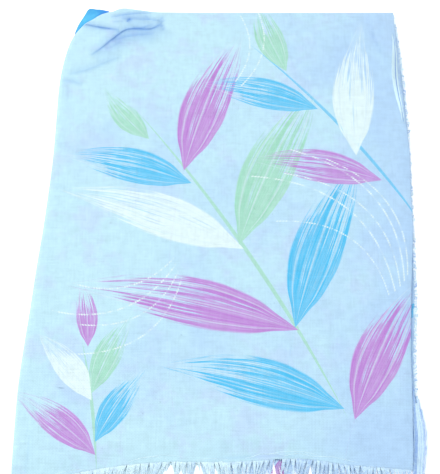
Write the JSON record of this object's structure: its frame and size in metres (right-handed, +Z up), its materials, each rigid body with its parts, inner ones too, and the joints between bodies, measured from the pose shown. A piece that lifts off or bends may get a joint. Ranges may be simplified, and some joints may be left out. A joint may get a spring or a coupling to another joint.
{
  "type": "folded long scarf",
  "caption": "Long frayed-edge scarf of thin printed voile, folded lengthwise and then into a flat rectangular stack, lying flat.",
  "frame": {"origin": "middle of the folded scarf's footprint, on the floor it lies on", "axes": "+X across the stack from the long fold to the raw long edges, +Y along the stack from the frayed short end to the last crosswise fold, +Z up"},
  "size_m": [0.448, 0.6382, 0.0136],
  "materials": {
    "printed_voile": "thin soft plain-weave voile, printed in pale blue with brushed leaf shapes, matt with a faint sheen",
    "folded_voile": "the same pale blue voile seen edge-on in stacked folds, matt",
    "under_voile": "the same pale blue voile in the shade of the top layer, with white printed lines, matt",
    "corner_voile": "a sky-blue printed part of the same voile, matt",
    "loose_yarn": "loose pale blue yarns drawn out of the weave, matt and slightly fuzzy"
  },
  "bodies": {
    "root": {"top_panel": "printed_voile", "hidden_layers": "folded_voile", "side_ply": "under_voile", "corner_ply": "corner_voile", "hem_fringe": "loose_yarn", "under_fringe": "loose_yarn", "side_fringe": "loose_yarn"}
  },
  "joints": []
}
